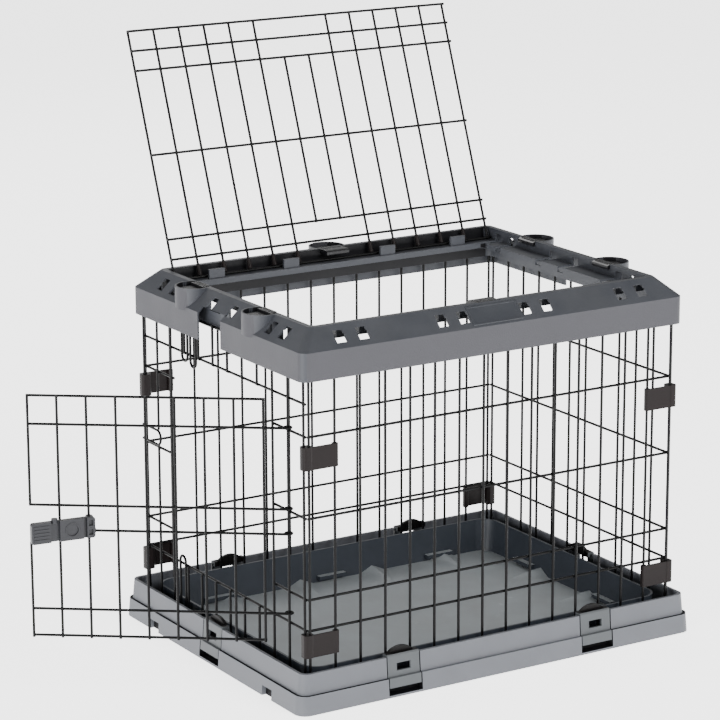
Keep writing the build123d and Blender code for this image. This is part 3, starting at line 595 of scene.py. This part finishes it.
class CRATE_OT_lid(bpy.types.Operator):
    """Paint the lid's wires and mould its sleeves"""

    bl_idname = "crate.lid"
    bl_label = "Wire Lid"

    def execute(self, context):
        finish_on("lid_grille", painted_wire("lid wire paint", context.scene.crate_colours.wire))
        plastic = moulded_plastic("sleeve plastic", context.scene.crate_colours.clip, 0.4,
                                  bump=0.08, marks=0.6, dust=0.03, gloss=0.12)
        softened("lid_hinge_sleeves", plastic, context.scene.crate_edges.small * 0.4, 1)
        return {"FINISHED"}


class CRATE_OT_door(bpy.types.Operator):
    """Paint the door's wires"""

    bl_idname = "crate.door"
    bl_label = "Wire Door"

    def execute(self, context):
        finish_on("door_grille", painted_wire("door wire paint", context.scene.crate_colours.wire))
        return {"FINISHED"}


class CRATE_OT_door_latch(bpy.types.Operator):
    """Mould the door's handle and the clip that it turns against"""

    bl_idname = "crate.door_latch"
    bl_label = "Door Latch"

    def execute(self, context):
        settings = context.scene.crate_edges
        grey = moulded_plastic("door handle plastic", context.scene.crate_colours.handle, 0.42,
                               marks=0.7, dust=0.08)
        dark = moulded_plastic("door clip plastic", context.scene.crate_colours.clip, 0.4,
                               marks=0.5, gloss=0.12)
        softened("door_latch_handle", grey, settings.small, settings.segments)
        softened("door_latch_clip", dark, settings.small * 0.5, settings.segments)
        return {"FINISHED"}


def area_light(name, place, target, size, power, tint=(1.0, 1.0, 1.0)):
    """A square soft light that looks at a point."""
    lamp = bpy.data.lights.new(name, "AREA")
    lamp.shape = "SQUARE"
    lamp.size = size
    lamp.energy = power
    lamp.color = tint
    holder = bpy.data.objects.new(name, lamp)
    holder.location = place
    holder.rotation_euler = (Vector(target) - Vector(place)).to_track_quat("-Z", "Y").to_euler()
    bpy.context.scene.collection.objects.link(holder)
    return holder


class CRATE_OT_stage(bpy.types.Operator):
    """Lay the floor and set the lights and the camera"""

    bl_idname = "crate.stage"
    bl_label = "Studio Stage"

    def execute(self, context):
        settings = context.scene.crate_stage
        shape = bmesh.new()
        bmesh.ops.create_grid(shape, x_segments=1, y_segments=1, size=FLOOR_HALF)
        bmesh.ops.translate(shape, verts=shape.verts, vec=(0.0, 0.0, -FLOOR_DROP))
        mesh = bpy.data.meshes.new("studio_floor")
        shape.to_mesh(mesh)
        shape.free()
        floor = bpy.data.objects.new("studio_floor", mesh)
        context.scene.collection.objects.link(floor)
        material, tree, shader = new_material("floor paper")
        cloud = add_node(tree, "ShaderNodeTexNoise", Scale=3.0, Detail=2.0)
        coords = add_node(tree, "ShaderNodeTexCoord")
        tree.links.new(coords.outputs["Object"], cloud.inputs["Vector"])
        tone = tuple(settings.floor)
        tree.links.new(mix_colour(tree, cloud.outputs[0], shade(tone, 0.99), shade(tone, 1.01)),
                       shader.inputs["Base Color"])
        shader.inputs["Emission Color"].default_value = (1.0, 1.0, 1.0, 1.0)
        shader.inputs["Emission Strength"].default_value = settings.glow
        shader.inputs["Roughness"].default_value = 0.9
        shader.inputs["Specular IOR Level"].default_value = 0.1
        mesh.materials.append(material)

        world = bpy.data.worlds.new("studio world")
        world.use_nodes = True
        background = world.node_tree.nodes["Background"]
        background.inputs["Color"].default_value = (1.0, 1.0, 1.0, 1.0)
        background.inputs["Strength"].default_value = settings.sky
        context.scene.world = world

        middle = (0.0, 0.0, 0.25)
        area_light("key light", (-3.8, -1.4, 0.5), middle, 2.2, settings.key)
        area_light("fill light", (1.2, -3.6, 2.6), middle, 2.4, settings.fill)
        area_light("back light", (0.8, 3.2, 2.8), middle, 2.0, settings.fill * 0.3)

        camera_data = bpy.data.cameras.new("studio camera")
        camera_data.lens = settings.lens
        camera_data.sensor_width = 36.0
        camera_data.clip_end = 60.0
        camera = bpy.data.objects.new("studio camera", camera_data)
        place = Vector(CAMERA_PLACE)
        turn = (Vector(CAMERA_AIM) - place).to_track_quat("-Z", "Y").to_matrix().to_4x4()
        camera.matrix_world = Matrix.Translation(place) @ turn @ Matrix.Rotation(CAMERA_ROLL, 4, "Z")
        context.scene.collection.objects.link(camera)
        context.scene.camera = camera
        return {"FINISHED"}


class CRATE_PT_sidebar(bpy.types.Panel):
    """Lists the crate's pieces and settings"""

    bl_idname = "CRATE_PT_sidebar"
    bl_label = "Dog Crate"
    bl_space_type = "VIEW_3D"
    bl_region_type = "UI"
    bl_category = "Dog Crate"

    def draw(self, context):
        layout = self.layout
        for group in (context.scene.crate_colours, context.scene.crate_edges, context.scene.crate_stage):
            box = layout.box()
            for key in group.bl_rna.properties.keys():
                if key not in ("rna_type", "name"):
                    box.prop(group, key)
        for operator in OPERATORS:
            layout.operator(operator.bl_idname)


SETTINGS = (("crate_colours", CrateColours), ("crate_edges", CrateEdges), ("crate_stage", CrateStage))
OPERATORS = (
    CRATE_OT_base_tray, CRATE_OT_base_latches, CRATE_OT_wire_walls, CRATE_OT_corner_clips,
    CRATE_OT_top_frame, CRATE_OT_badge, CRATE_OT_lid_latches, CRATE_OT_lid, CRATE_OT_door,
    CRATE_OT_door_latch, CRATE_OT_stage,
)


def register():
    """Register the classes and hang the settings on the scene."""
    for label, kind in SETTINGS:
        bpy.utils.register_class(kind)
        setattr(bpy.types.Scene, label, PointerProperty(type=kind))
    for operator in OPERATORS:
        bpy.utils.register_class(operator)
    bpy.utils.register_class(CRATE_PT_sidebar)


def unregister():
    """Take everything off again."""
    bpy.utils.unregister_class(CRATE_PT_sidebar)
    for operator in reversed(OPERATORS):
        bpy.utils.unregister_class(operator)
    for label, kind in reversed(SETTINGS):
        delattr(bpy.types.Scene, label)
        bpy.utils.unregister_class(kind)


def main():
    """Build the whole crate."""
    register()
    for operator in OPERATORS:
        prefix, name = operator.bl_idname.split(".")
        getattr(getattr(bpy.ops, prefix), name)()


if __name__ == "__main__":
    main()
